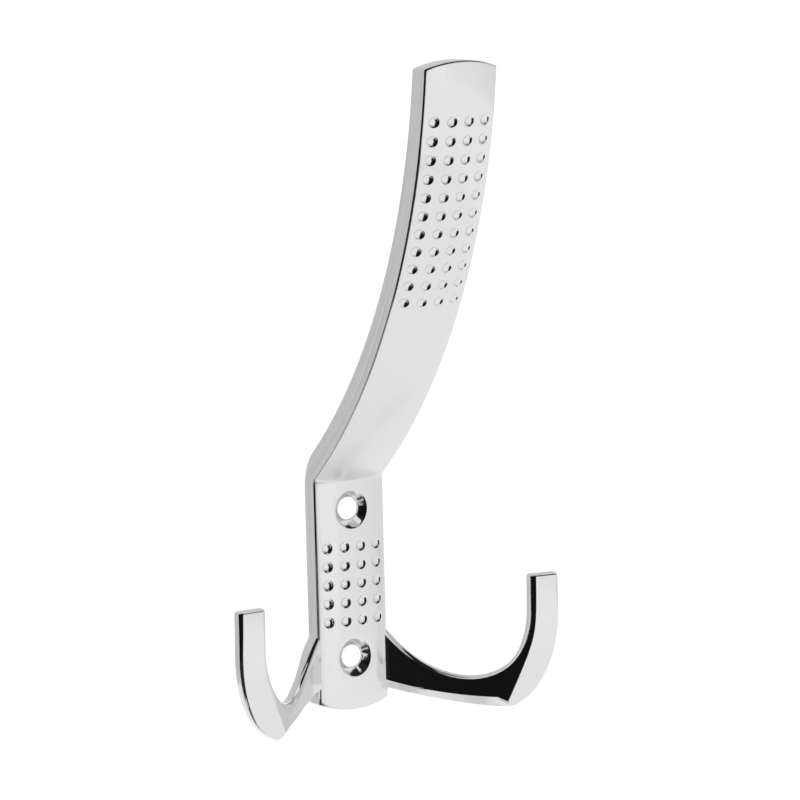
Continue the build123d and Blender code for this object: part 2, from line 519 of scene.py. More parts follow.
    def section(self) -> tuple[np.ndarray, np.ndarray, np.ndarray, np.ndarray]:
        """Loop round the bar: cores, directions and the surface they belong to.

        Returns:
            Core places across; core heights under the front or the back; unit vectors out of the core as
            across and height; and for each point how far it lies from front (0) to back (1).
        """
        u = self.columns()
        tilt = np.arcsin(u / self.crown)
        inner = self.crown - self.edge
        core_x = [inner * np.sin(tilt)]
        core_h = [inner * np.cos(tilt) - self.crown]
        out = [np.stack([np.sin(tilt), np.cos(tilt)], -1)]
        place = [np.zeros_like(u)]
        turn = np.linspace(self.edge_tilt, math.pi / 2, self.edge_steps + 1)[1:]
        round_out = np.stack([np.sin(turn), np.cos(turn)], -1)
        side = np.linspace(0, 1, self.side_steps + 1)[1:-1]
        back_turn = np.linspace(0, math.pi / 2, self.edge_steps + 1)[::-1]
        back_out = np.stack([np.sin(back_turn), np.cos(back_turn)], -1)

        def half(sign: float) -> tuple[list, list, list, list]:
            """Right or left flank from the front's edge to the back's edge."""
            flip = np.array([sign, 1.0])
            counts = (len(turn), len(side), len(back_out))
            xs = [np.full(count, self.core_x * sign) for count in counts]
            hs = [np.full(n, height) for n, height in zip(counts, (self.corner, np.nan, -self.edge))]
            outs = [round_out * flip, np.tile([sign, 0.0], (len(side), 1)), back_out * flip]
            places = [np.zeros(len(turn)), side, np.ones(len(back_out))]
            return xs, hs, outs, places

        for total, part in zip((core_x, core_h, out, place), half(1.0)):
            total.extend(part)
        core_x.append(u[::-1] * self.core_x / self.front_half)
        core_h.append(np.full(len(u), -self.edge))
        out.append(np.tile([0.0, 1.0], (len(u), 1)))
        place.append(np.ones(len(u)))
        for total, part in zip((core_x, core_h, out, place), half(-1.0)):
            total.extend(piece[::-1] for piece in part[::-1])
        return tuple(np.concatenate(total) for total in (core_x, core_h, out, place))

    def cores(self, front: np.ndarray, back: np.ndarray) -> tuple[np.ndarray, np.ndarray]:
        """Cores and directions of every loop point, each with its own place along the bar.

        Args:
            front: Places along the front for each loop point, lines by points.
            back: Places along the back for each loop point, lines by points.

        Returns:
            Core points and unit directions, lines by points.
        """
        core_x, core_h, out, place = self.section()
        front_mid, front_out = self.front_frame(front)
        back_mid, back_out = self.back_frame(back)
        on_front = front_mid + front_out * np.where(place == 0, core_h, self.corner)[..., None]
        on_back = back_mid - back_out * self.edge
        yz = on_front * (1 - place)[..., None] + on_back * place[..., None]
        facing = np.where((place < 1)[..., None], front_out, back_out)
        x = np.broadcast_to(core_x, yz.shape[:-1])
        points = np.concatenate([x[..., None], yz], -1)
        tilt = np.broadcast_to(out[..., :1], (*yz.shape[:-1], 1))
        turned = np.concatenate([tilt, facing * out[..., 1:]], -1)
        return points, turned

    def end_places(self, ending: Ending) -> tuple[np.ndarray, np.ndarray]:
        """Where each loop point's core meets the bowed end, set in by the edge's radius.

        Args:
            ending: Foot or top.

        Returns:
            Places along the front and along the back for each loop point.
        """
        core_x, core_h, _, place = self.section()
        bow = np.sqrt((self.end_bow - self.edge) ** 2 - core_x**2) - self.end_bow
        if ending is Ending.FOOT:
            level = -self.foot - bow
            return level - self.crease_height, level
        level = self.top + bow
        front_reach = self.radius + np.where(place == 0, core_h, self.corner)
        back_reach = self.back_radius + self.edge
        front = (self.lean - np.arcsin((self.centre_z - level) / front_reach)) * self.radius
        back = self.bend_z + 1 + self.bend_turn - np.arcsin((self.centre_z - level) / back_reach)
        return front, back

    def end_cap(self, shell: Shell, ending: Ending, last: np.ndarray) -> None:
        """Rounds the bar over into a bowed end and closes it.

        Args:
            shell: Skin that gets the end.
            ending: Foot or top.
            last: Point numbers of the loop where the rounding starts.
        """
        front, back = self.end_places(ending)
        core, out = self.cores(front, back)
        bow = self.end_bow - self.edge
        lean_x = core[:, 0] / bow
        end_out = np.stack([lean_x, np.zeros_like(lean_x), ending.value * np.sqrt(1 - lean_x**2)], -1)
        loops = [last]
        for share in np.linspace(0, 1, self.edge_steps + 1)[1:]:
            loops.append(shell.add(core + self.edge * slerp(out, end_out, share)))
        shell.quads(np.stack(loops), closed=True)
        count = len(self.columns())
        front_cores = core[:count]
        back_cores = core[count + self.flank : 2 * count + self.flank][::-1]
        grid = []
        for share in np.linspace(0, 1, self.side_steps + 1):
            line = front_cores * (1 - share) + back_cores * share
            lean_x = line[:, 0] / bow
            level = np.sqrt(1 - lean_x**2)
            z = ending.value * (self.end_bow * level - self.end_bow)
            z = z + (self.top if ending is Ending.TOP else -self.foot)
            grid.append(np.stack([self.end_bow * lean_x, line[:, 1], z], -1))
        shell.quads(shell.add(np.stack(grid)))

    def screw_hole(self, shell: Shell, edge: np.ndarray, behind: np.ndarray, level: float) -> None:
        """Fills the frame left for a screw hole: front face, cone, land, relief and back face.

        Args:
            shell: Skin that gets the hole.
            edge: Points round the frame on the front.
            behind: Points round the frame on the back, in the same order.
            level: Height of the hole's axis.
        """
        angle = np.arctan2(edge[:, 2] - level, edge[:, 0])
        ring = np.stack([np.cos(angle), np.sin(angle)], -1)
        bore, mouth, lip = self.hole.diameter / 2, self.hole.sink / 2, self.hole.lip
        relief = self.hole.relief / 2

        def front_point(radius: np.ndarray, extra: float) -> np.ndarray:
            """Points on the crowned front round the axis, sunk by a little."""
            x = ring[:, 0] * radius
            z = ring[:, 1] * radius + level
            drop = self.crown - np.sqrt(self.crown**2 - x**2)
            return np.stack([x, -self.plate + drop + extra, z], -1)

        rim = np.full(len(ring), mouth)
        for _ in range(self.hole.rim_rounds):
            rim = mouth - (self.crown - np.sqrt(self.crown**2 - (ring[:, 0] * rim) ** 2))
        far = np.hypot(edge[:, 0], edge[:, 2] - level)
        rows = [edge]
        for share in self.hole.face_rings:
            rows.append(front_point(far + (rim + lip - far) * share, 0.0))
        for outwards, deep in self.hole.lip_rings:
            rows.append(front_point(rim + outwards * lip, deep * lip))

        def inside(radius: np.ndarray | float, y: np.ndarray | float) -> np.ndarray:
            """Ring of points about the axis at a depth."""
            radius, y = np.broadcast_to(radius, len(ring)), np.broadcast_to(y, len(ring))
            return np.stack([ring[:, 0] * radius, y, ring[:, 1] * radius + level], -1)

        cone_foot = -self.plate + mouth - bore
        for share in self.hole.cone_rings:
            radius = rim - lip + (bore + self.hole.cone_edge - rim + lip) * share
            rows.append(inside(radius, -self.plate + mouth - radius))
        land_end = cone_foot + self.hole.land
        brink = relief + self.hole.back_edge
        for radius, y in (
            (bore, cone_foot + self.hole.bore_edge),
            (bore, land_end - self.hole.land_edge),
            (bore + self.hole.land_edge, land_end),
            (relief - self.hole.relief_edge, land_end),
            (relief, land_end + self.hole.relief_edge),
            (relief, -self.hole.back_edge),
            (brink, 0.0),
        ):
            rows.append(inside(radius, y))
        far = np.hypot(behind[:, 0], behind[:, 2] - level)
        back_angle = np.arctan2(behind[:, 2] - level, behind[:, 0])
        for share in self.hole.back_rings:
            radius = brink + (far - brink) * share
            x, z = np.cos(back_angle) * radius, np.sin(back_angle) * radius + level
            rows.append(np.stack([x, np.zeros_like(x), z], -1))
        rows.append(behind)
        shell.quads(shell.add(np.stack(rows)), closed=True)

    def build(self, metal: bpy.types.Material) -> Shell:
        """Draws the whole bar as one closed skin.

        Args:
            metal: Finish for the dimples' node tree.

        Returns:
            The bar's skin.
        """
        shell = Shell()
        front, back, zones = self.rows()
        points = len(self.section()[0])
        wide = np.ones(points)
        foot_front, foot_back = self.end_places(Ending.FOOT)
        top_front, top_back = self.end_places(Ending.TOP)
        foot_share = np.linspace(0, 1, self.foot_lines + 1)[:-1, None]
        top_share = np.linspace(0, 1, self.top_lines + 1)[1:, None]
        places = [
            np.concatenate(
                [
                    foot + (fixed[0] - foot) * foot_share,
                    fixed[:, None] * wide,
                    fixed[-1] + (top - fixed[-1]) * top_share,
                ]
            )
            for foot, fixed, top in ((foot_front, front, top_front), (foot_back, back, top_back))
        ]
        core, out = self.cores(*places)
        skin = core + self.edge * out
        ids = shell.add(skin)
        keep = np.ones((len(ids) - 1, points), bool)
        count = len(self.columns())
        back_from = count + self.flank
        shift = len(foot_share)
        steps = self.dimples.steps
        for name in ("plate_dimples", "arm_dimples"):
            first, last = (n + shift for n in zones[name])
            for column in range(self.dimples.columns):
                start = column * (steps + 1) + 1
                keep[first:last, start : start + steps] = False
        for name, level in zip(("low_hole", "high_hole"), self.hole.heights):
            first, last = (n + shift for n in zones[name])
            keep[first:last, : count - 1] = False
            keep[first:last, back_from : back_from + count - 1] = False
            fronts = skin[first : last + 1, :count]
            backs = skin[first : last + 1, back_from : back_from + count][:, ::-1]
            self.screw_hole(shell, self.frame_edge(fronts), self.frame_edge(backs), level)
        shell.quads(ids, keep, closed=True)
        self.end_cap(shell, Ending.FOOT, ids[0])
        self.end_cap(shell, Ending.TOP, ids[-1])
        plate_middle = -self.crease_height
        arm_middle = self.arm_start + (self.arm_rows - 1) * self.dimples.pitch / 2
        for rows, middle in ((self.plate_rows, plate_middle), (self.arm_rows, arm_middle)):
            flat, faces = self.dimples.field(rows, self.tile_half, metal)
            shell.append(self.on_front(flat[:, 0], flat[:, 1] + middle, -flat[:, 2]), faces)
        return shell

    @staticmethod
    def frame_edge(grid: np.ndarray) -> np.ndarray:
        """Points round the border of a grid, in order, without repeating a corner."""
        return np.concatenate([grid[0, :-1], grid[:-1, -1], grid[-1, :0:-1], grid[:0:-1, 0]])


@dataclass
class Prong:
    """Right side prong: a fin off the plate that bends into an upturned tip.

    Stations follow the prong from its root to its tip: the run, the bend and the way up. The rims' radii change
    at given stations, counted from the end of the run, and start as shares of their full size.
    """

    plate_half: float = 8.5
    root_sink: float = 1.5
    root_top: float = -10.7
    root_foot: float = -23.3
    foot_curve: float = 1.7
    knee_reach: float = 5.2
    knee_drop: float = 6.1
    valley_reach: float = 14.2
    valley_level: float = -21.25
    sole_reach: float = 18.6
    sole_level: float = -27.65
    tip_inner: float = 23.75
    tip_width: float = 6.65
    tip_top: float = 0.85
    inner_bend: float = -7.5
    outer_bend: float = -8.0
    heading: float = math.radians(45.0)
    fin: float = 2.5
    fin_offset: float = 1.94
    flare_reach: float = 5.5
    flare_depth: float = 4.0
    back_reach: float = 3.5
    back_depth: float = 0.3
    turn: float = math.radians(5.0)
    tip_front: float = 25.85
    tip_arc: float = 155.0
    tip: float = 3.0
    ridge: float = 33.15
    ridge_level: float = -12.4
    ridge_slope: float = 0.43
    ridge_blend: float = 2.0
    brow: float = 0.6
    fold: float = 2.0
    back_blend: float = 0.3
    fade_past: float = 2.0
    run_top_edge: float = 1.5
    run_foot_edge: float = 1.95
    run_back_edge: float = 0.5
    tip_inner_edge: float = 1.0
    tip_bend_edge: float = 0.45
    tip_outer_edge: float = 1.25
    tip_back_edge: float = 0.9
    foot_share: float = 0.9
    outer_shares: tuple[float, float] = (0.5, 0.75)
    outer_stations: tuple[int, int] = (22, 36)
    inner_shares: tuple[float, float] = (0.6, 0.8)
    inner_stations: tuple[int, int] = (-4, 18)
    end_edge: float = 0.45
    end_inset: float = 0.06
    end_tilt: float = math.radians(2.0)
    chamfer_fade: int = 5
    rim_rounds: int = 12
    run_lines: int = 46
    bend_lines: int = 56
    up_lines: int = 14
    edge_steps: int = 8
    face_steps: int = 20
    wall_steps: int = 4

    def outline(self) -> tuple[np.ndarray, np.ndarray, np.ndarray, np.ndarray]:
        """Front view: the inner and the outer line of the prong, station by station.

        Returns:
            Inner points, outer points, and unit vectors out of the prong at each of them, as x and z.
        """
        root = self.plate_half - self.root_sink
        valley = self.plate_half + self.valley_reach
        sole = self.plate_half + self.sole_reach
        inner = self.plate_half + self.tip_inner
        outer = inner + self.tip_width
        root_high = self.root_top + self.root_sink * self.knee_drop / self.knee_reach
        knee = np.array([self.plate_half + self.knee_reach, self.root_top - self.knee_drop])
        start, end = np.array([root, root_high]), np.array([valley, self.valley_level])
        run = np.linspace(0, 1, self.run_lines)
        inner_run = self.through(start, knee, end, run)
        span, rise = sole - root, self.root_foot - self.sole_level
        outer_run = np.stack([root + span * run, self.sole_level + rise * (1 - run) ** self.foot_curve], -1)
        angle = np.linspace(0, math.pi / 2, self.bend_lines + 1)[1:]
        sine, drop = np.sin(angle), np.cos(angle)
        up = np.linspace(0, 1, self.up_lines + 1)[1:]
        end_level = self.tip_top - self.end_edge
        lines = []
        for first, low_x, low, far_x, high in (
            (inner_run, valley, self.valley_level, inner, self.inner_bend),
            (outer_run, sole, self.sole_level, outer, self.outer_bend),
        ):
            bent = np.stack([low_x + (far_x - low_x) * sine, high - (high - low) * drop], -1)
            upright = np.stack([np.full_like(up, far_x), high + (end_level - high) * up], -1)
            lines.append(np.concatenate([first, bent, upright]))
        inner_line, outer_line = lines
        return inner_line, outer_line, self.beside(inner_line, 1.0), self.beside(outer_line, -1.0)

    @staticmethod
    def through(start: np.ndarray, knee: np.ndarray, end: np.ndarray, share: np.ndarray) -> np.ndarray:
        """Smooth line from a start through a knee to a level end.

        Args:
            start: First point.
            knee: Point on the way; the line leaves the start towards it.
            end: Last point, which the line reaches level.
            share: Places along the line, from 0 to 1.

        Returns:
            Points on the line.
        """
        first_leg, last_leg = np.linalg.norm(knee - start), np.linalg.norm(end - knee)
        total = first_leg + last_leg
        first_slope = (knee - start) / first_leg * total
        last_slope = np.array([1.0, 0.0]) * total
        a = first_leg / total
        b = 1 - a
        pull = 3 * ((knee - start) * b / a + (end - knee) * a / b)
        knee_slope = (pull - first_slope * b - last_slope * a) / 2
        slopes = {"start": first_slope, "knee": knee_slope, "end": last_slope}
        points = {"start": start, "knee": knee, "end": end}

        def leg(near: str, far: str, length: float, places: np.ndarray) -> np.ndarray:
            """Cubic between two of the points with their slopes."""
            t = np.clip(places / length, 0, 1)[:, None]
            return (
                (2 * t**3 - 3 * t**2 + 1) * points[near]
                + (t**3 - 2 * t**2 + t) * length * slopes[near]
                + (3 * t**2 - 2 * t**3) * points[far]
                + (t**3 - t**2) * length * slopes[far]
            )

        first, second = leg("start", "knee", a, share), leg("knee", "end", b, share - a)
        return np.where((share < a)[:, None], first, second)

    @staticmethod
    def beside(line: np.ndarray, side: float) -> np.ndarray:
        """Unit vectors square to a line, on its left (1) or right (-1)."""
        along = np.gradient(line, axis=0)
        along /= np.linalg.norm(along, axis=1, keepdims=True)
        return np.stack([-along[:, 1], along[:, 0]], -1) * side

    def fin_line(self, offset: float, x: np.ndarray) -> np.ndarray:
        """Straight face of the fin seen from above: distance from the wall at each x."""
        start_x = self.plate_half - offset * math.sin(self.heading)
        return offset * math.cos(self.heading) + (x - start_x) * math.tan(self.heading)

    def tip_line(self, x: np.ndarray, z: np.ndarray) -> np.ndarray:
        """Front of the tip: distance from the wall, along an arc that is upright at its top."""
        middle = self.plate_half + self.tip_inner + self.tip_width / 2
        drop = self.tip_arc - np.sqrt(self.tip_arc**2 - (z - self.tip_top) ** 2)
        return self.tip_front - drop + (x - middle) * math.tan(self.turn)

    def fin_shift(self, z: np.ndarray) -> np.ndarray:
        """How far the fin's face has to step back at each level to meet the tip at the ridge between them."""
        bend = np.logaddexp(0, (self.ridge_level - z) / self.ridge_blend) * self.ridge_blend
        ridge = self.ridge - self.ridge_slope * bend
        return self.fin_line(self.fin_offset, ridge) - self.tip_line(ridge, z)

    def face(self, x: np.ndarray, z: np.ndarray, front: bool) -> np.ndarray:
        """Distance of the front or the back from the wall.

        Args:
            x: Places across.
            z: Levels.
            front: True for the front, False for the back.

        Returns:
            Distances from the wall, positive towards the room.
        """
        offset = self.fin_offset if front else self.fin_offset - self.fin
        depth = 0.0 if front else self.tip / math.cos(self.turn)
        reach = self.flare_reach if front else self.back_reach
        root_depth = self.flare_depth if front else self.back_depth
        radius = self.brow if front else self.fold
        steep, flat = math.tan(self.heading), math.tan(self.turn)
        plain = self.fin_line(offset, x)
        tip = self.tip_line(x, z) - depth
        shift = self.fin_shift(z)
        if not front:
            shift = -np.logaddexp(0, -shift / self.back_blend) * self.back_blend
        fade = self.valley_reach - self.flare_reach + self.fade_past
        share = np.clip((x - self.plate_half - self.flare_reach) / fade, 0, 1)
        fin = plain - shift * share**2 * (3 - 2 * share)
        corner = x + (tip - plain + shift) / (steep - flat)
        corner_depth = self.fin_line(offset, corner) - shift
        half = radius * math.tan((self.heading - self.turn) / 2)
        hub_x = corner + half * math.cos(self.turn) + radius * math.sin(self.turn)
        hub_f = corner_depth + half * math.sin(self.turn) - radius * math.cos(self.turn)
        bent = hub_f + np.sqrt(np.maximum(radius**2 - (x - hub_x) ** 2, 0))
        near, far = corner - half * math.cos(self.heading), corner + half * math.cos(self.turn)
        result = np.where(x < near, fin, np.where(x > far, tip, bent))
        start_x = self.plate_half + reach
        start_f = float(self.fin_line(offset, np.array(start_x)))
        root_x = self.plate_half - self.root_sink
        along = np.array([math.cos(self.heading), math.sin(self.heading)])
        chord = np.array([root_x - start_x, root_depth - start_f])
        side = np.array([-along[1], along[0]])
        bow = chord @ chord / (2 * (chord @ side))
        hub = np.array([start_x, start_f]) + side * bow
        flare = hub[1] - np.sign(bow) * np.sqrt(np.maximum(bow**2 - (x - hub[0]) ** 2, 0))
        return np.where(x < start_x, flare, result)

    def face_out(self, x: np.ndarray, z: np.ndarray, front: bool) -> np.ndarray:
        """Unit vectors out of the front or the back."""
        step = 0.01
        slope_x = (self.face(x + step, z, front) - self.face(x - step, z, front)) / (2 * step)
        slope_z = (self.face(x, z + step, front) - self.face(x, z - step, front)) / (2 * step)
        sign = 1.0 if front else -1.0
        out = np.stack([-slope_x, -np.ones_like(x), -slope_z], -1) * sign
        return out / np.linalg.norm(out, axis=-1, keepdims=True)

    def edges(self, side: str, front: bool) -> np.ndarray:
        """Radius of one rim, station by station.

        Args:
            side: Inner or outer rim in front view.
            front: True for a front rim, False for a back rim.

        Returns:
            Radii from the root to the tip, as a column.
        """
        run, bend, up = self.run_lines, self.bend_lines, self.up_lines
        if front and side == "outer":
            foot, bent, tip = self.run_foot_edge, self.tip_bend_edge, self.tip_outer_edge
            stations = (run + station for station in self.outer_stations)
            places = [0, run - 1, run + self.chamfer_fade, *stations, run + bend, run + bend + up]
            radii = [self.foot_share * foot, foot, bent, bent, *(tip * part for part in self.outer_shares), tip]
        else:
            first = self.run_top_edge if front else self.run_back_edge
            last = self.tip_inner_edge if front else self.tip_back_edge
            places = [0, run // 2, *(run + station for station in self.inner_stations)]
            radii = [*(first * part for part in self.inner_shares), first, last]
        return np.interp(np.arange(run + bend + up), places, radii)[:, None]

    def rim(
        self, at: np.ndarray, wall: np.ndarray, front: bool, radius: np.ndarray
    ) -> tuple[np.ndarray, ...]:
        """Centres of the rounding along one rim.

        Args:
            at: Rim points in front view, as x and z.
            wall: Unit vectors out of the wall beside the rim, as x and z.
            front: True for a front rim, False for a back rim.
            radius: Radius of the rounding at each point, as a column.

        Returns:
            Centres of the rounding, unit vectors out of the face and out of the wall, and the radii.
        """
        beside = np.stack([wall[:, 0], np.zeros(len(wall)), wall[:, 1]], -1)
        centre = at - radius * wall
        touch = centre
        for _ in range(self.rim_rounds):
            out = self.face_out(touch[:, 0], touch[:, 1], front)
            touch = centre + radius * out[:, ::2]
        depth = self.face(touch[:, 0], touch[:, 1], front)
        hub = np.stack([centre[:, 0], -depth - radius[:, 0] * out[:, 1], centre[:, 1]], -1)
        return hub, out, beside, radius

    def build(self) -> Shell:
        """Draws the prong as one closed skin."""
        shell = Shell()
        inner, outer, inner_out, outer_out = self.outline()
        rims = {
            (side, front): self.rim(line, out, front, self.edges(side, front))
            for side, line, out in (("inner", inner, inner_out), ("outer", outer, outer_out))
            for front in (True, False)
        }
        loops: list[np.ndarray] = []
        outs: list[np.ndarray] = []

        def span(front: bool, first: str, last: str) -> None:
            """Adds the lines of a front or back face from one rim to the other."""
            a, b = rims[first, front], rims[last, front]
            start, end = a[0] + a[3] * a[1], b[0] + b[3] * b[1]
            for share in np.linspace(0, 1, self.face_steps + 1):
                point = start * (1 - share) + end * share
                depth = self.face(point[:, 0], point[:, 2], front)
                point = np.stack([point[:, 0], -depth, point[:, 2]], -1)
                out = self.face_out(point[:, 0], point[:, 2], front)
                loops.append(point)
                outs.append(out)

        def turn(side: str, front: bool, to_wall: bool) -> None:
            """Adds the lines round one rim; the run's foot is cut flat across, all else is round."""
            centre, out, beside, radius = rims[side, front]
            fade = [self.run_lines - 1, self.run_lines + self.chamfer_fade]
            cut = np.interp(np.arange(len(out)), fade, [1, 0])[:, None] * (side == "outer" and front)
            for share in np.linspace(0, 1, self.edge_steps + 1)[1:-1]:
                turned = share if to_wall else 1 - share
                way = slerp(out, beside, turned)
                flat = out * (1 - turned) + beside * turned
                loops.append(centre + radius * (way * (1 - cut) + flat * cut))
                outs.append(way)

        def wall(side: str, from_front: bool) -> None:
            """Adds the lines of a wall between two rims."""
            start, end = rims[side, from_front], rims[side, not from_front]
            for share in np.linspace(0, 1, self.wall_steps + 1):
                from_rim, to_rim = start[0] + start[3] * start[2], end[0] + end[3] * end[2]
                loops.append(from_rim * (1 - share) + to_rim * share)
                outs.append(start[2])

        span(True, "inner", "outer")
        turn("outer", True, True)
        wall("outer", True)
        turn("outer", False, False)
        span(False, "outer", "inner")
        turn("inner", False, True)
        wall("inner", False)
        turn("inner", True, False)
        skin = np.stack(loops, 1)
        out = np.stack(outs, 1)[-1]
        tilt = math.tan(self.end_tilt)
        skin[-1, :, 2] += (skin[-1, :, 1] - skin[-1, :, 1].mean()) * tilt
        core = skin[-1] - self.end_edge * out
        ids = shell.add(skin)
        shell.quads(ids, closed=True)
        up = np.array([0.0, -math.sin(self.end_tilt), math.cos(self.end_tilt)])
        rounding = [ids[-1]]
        upwards = np.tile(up, (len(core), 1))
        for share in np.linspace(0, 1, self.edge_steps + 1)[1:]:
            rounding.append(shell.add(core + self.end_edge * slerp(out, upwards, share)))
        shell.quads(np.stack(rounding), closed=True)
        rim = core + self.end_edge * up
        middle = rim.mean(axis=0)
        inset = shell.add(rim + (middle - rim) * self.end_inset)
        shell.quads(np.stack([rounding[-1], inset]), closed=True)
        shell.fan(inset, int(shell.add(middle[None])[0]))
        shell.faces.append(tuple(int(i) for i in ids[0]))
        return shell


@dataclass(frozen=True)
class PolishedChrome:
    """Bright chrome plate on die-cast zinc: buffed, so it mirrors its surround with faint polishing lines.

    The buffing wheel doesn't reach into the crook between plate and arm, so the metal stays softer there. The
    flanks keep more of the lengthwise lines from grinding, which read as fine grey streaks. Real polishing
    lines are too fine to show, so they are drawn half a millimetre apart. Spans are pairs of limits.
    """

    colour: str = "#E1E1E1"
    streak_colour: str = "#CCCCCC"
    plate_mm: float = 5.4
    arc_radius_mm: float = 132.4
    arc_centre_mm: tuple[float, float, float] = (0.0, 76.11, 126.53)
    roughness: float = 0.1
    roughness_spread: tuple[float, float] = (0.8, 1.3)
    crook_roughness: float = 0.27
    crook_foot_mm: float = 22.0
    crook_level_mm: float = 34.0
    crook_top_mm: float = 70.0
    line_pitch_mm: float = 0.5
    line_depth_mm: float = 0.0006
    line_stretch: float = 0.013
    line_detail: float = 2.0
    line_span: tuple[float, float] = (0.3, 0.7)
    streak_span: tuple[float, float] = (0.45, 0.75)
    flank_span: tuple[float, float] = (0.9, 0.99)

    def lines(self, tree: bpy.types.NodeTree, place: bpy.types.NodeSocket) -> bpy.types.NodeSocket:
        """Polishing lines that run along the bar and follow its bend.

        Args:
            tree: The material's tree.
            place: Object coordinates.

        Returns:
            How strongly a line shows, about 0.5 on average.
        """
        axes = add_node(tree, "ShaderNodeSeparateXYZ", {"Vector": place}).outputs
        side = add_node(tree, "ShaderNodeCombineXYZ", {"Y": axes["Y"], "Z": axes["Z"]}).outputs["Vector"]
        centre = tuple(c * MM for c in self.arc_centre_mm)
        swing = add_node(tree, "ShaderNodeVectorMath", {0: side, 1: centre}, operation="DISTANCE")
        terms = {0: self.arc_radius_mm * MM, 1: swing.outputs["Value"]}
        in_arm = add_node(tree, "ShaderNodeMath", terms, operation="SUBTRACT")
        terms = {0: axes["Y"], 1: self.plate_mm * MM}
        in_plate = add_node(tree, "ShaderNodeMath", terms, operation="ADD")
        terms = {0: in_arm.outputs[0], 1: in_plate.outputs[0]}
        depth = add_node(tree, "ShaderNodeMath", terms, operation="MAXIMUM").outputs[0]
        along = add_node(tree, "ShaderNodeCombineXYZ", {"X": axes["X"], "Y": depth, "Z": axes["Z"]})
        cell = 1 / (self.line_pitch_mm * MM)
        drawn = add_node(
            tree,
            "ShaderNodeMapping",
            {"Vector": along.outputs["Vector"], "Scale": (cell, cell, cell * self.line_stretch)},
        )
        grain = {"Vector": drawn.outputs["Vector"], "Scale": 1.0, "Detail": self.line_detail}
        return add_node(tree, "ShaderNodeTexNoise", grain).outputs["Fac"]

    def gloss(
        self, tree: bpy.types.NodeTree, lines: bpy.types.NodeSocket, place: bpy.types.NodeSocket
    ) -> bpy.types.NodeSocket:
        """Roughness: a little uneven from line to line, and softer in the crook.

        Args:
            tree: The material's tree.
            lines: How strongly a line shows.
            place: Object coordinates.

        Returns:
            The roughness.
        """
        low, high = self.roughness_spread
        uneven = add_node(
            tree,
            "ShaderNodeMapRange",
            {
                "Value": lines,
                "From Min": self.line_span[0],
                "From Max": self.line_span[1],
                "To Min": self.roughness * low,
                "To Max": self.roughness * high,
            },
        )
        level = add_node(tree, "ShaderNodeSeparateXYZ", {"Vector": place}).outputs["Z"]
        crook = add_node(
            tree,
            "ShaderNodeMapRange",
            {
                "Value": level,
                "From Min": self.crook_level_mm * MM,
                "From Max": self.crook_top_mm * MM,
                "To Min": self.crook_roughness,
                "To Max": 0.0,
            },
            interpolation_type="SMOOTHSTEP",
        )
        terms = {0: level, 1: self.crook_foot_mm * MM}
        above = add_node(tree, "ShaderNodeMath", terms, operation="GREATER_THAN")
        terms = {0: crook.outputs["Result"], 1: above.outputs[0]}
        soft = add_node(tree, "ShaderNodeMath", terms, operation="MULTIPLY")
        terms = {0: uneven.outputs["Result"], 1: soft.outputs[0]}
        return add_node(tree, "ShaderNodeMath", terms, operation="MAXIMUM").outputs[0]

    def tint(self, tree: bpy.types.NodeTree, lines: bpy.types.NodeSocket) -> bpy.types.NodeSocket:
        """Colour: streaked on the flanks and plain elsewhere.

        Args:
            tree: The material's tree.
            lines: How strongly a line shows.

        Returns:
            The colour.
        """
        facing = add_node(tree, "ShaderNodeNewGeometry").outputs["Normal"]
        across = add_node(tree, "ShaderNodeSeparateXYZ", {"Vector": facing}).outputs["X"]
        sideways = add_node(tree, "ShaderNodeMath", {0: across}, operation="ABSOLUTE").outputs[0]
        shares = []
        for value, (low, high) in ((sideways, self.flank_span), (lines, self.streak_span)):
            limits = {"Value": value, "From Min": low, "From Max": high}
            shares.append(add_node(tree, "ShaderNodeMapRange", limits).outputs["Result"])
        share = add_node(tree, "ShaderNodeMath", dict(enumerate(shares)), operation="MULTIPLY")
        return add_node(
            tree,
            "ShaderNodeMix",
            {"Factor": share.outputs[0], "A": linear(self.colour), "B": linear(self.streak_colour)},
            data_type="RGBA",
        ).outputs["Result"]

    def make(self) -> bpy.types.Material:
        """Builds the material."""
        metal = new_material("polished_chrome_plate")
        tree = metal.node_tree
        place = add_node(tree, "ShaderNodeTexCoord").outputs["Object"]
        lines = self.lines(tree, place)
        bump = add_node(
            tree,
            "ShaderNodeBump",
            {"Height": lines, "Strength": 1.0, "Distance": self.line_depth_mm * MM},
        )
        shader = add_node(
            tree,
            "ShaderNodeBsdfPrincipled",
            {
                "Base Color": self.tint(tree, lines),
                "Metallic": 1.0,
                "Roughness": self.gloss(tree, lines, place),
                "Normal": bump.outputs["Normal"],
            },
        )
        add_node(tree, "ShaderNodeOutputMaterial", {"Surface": shader.outputs["BSDF"]})
        return metal


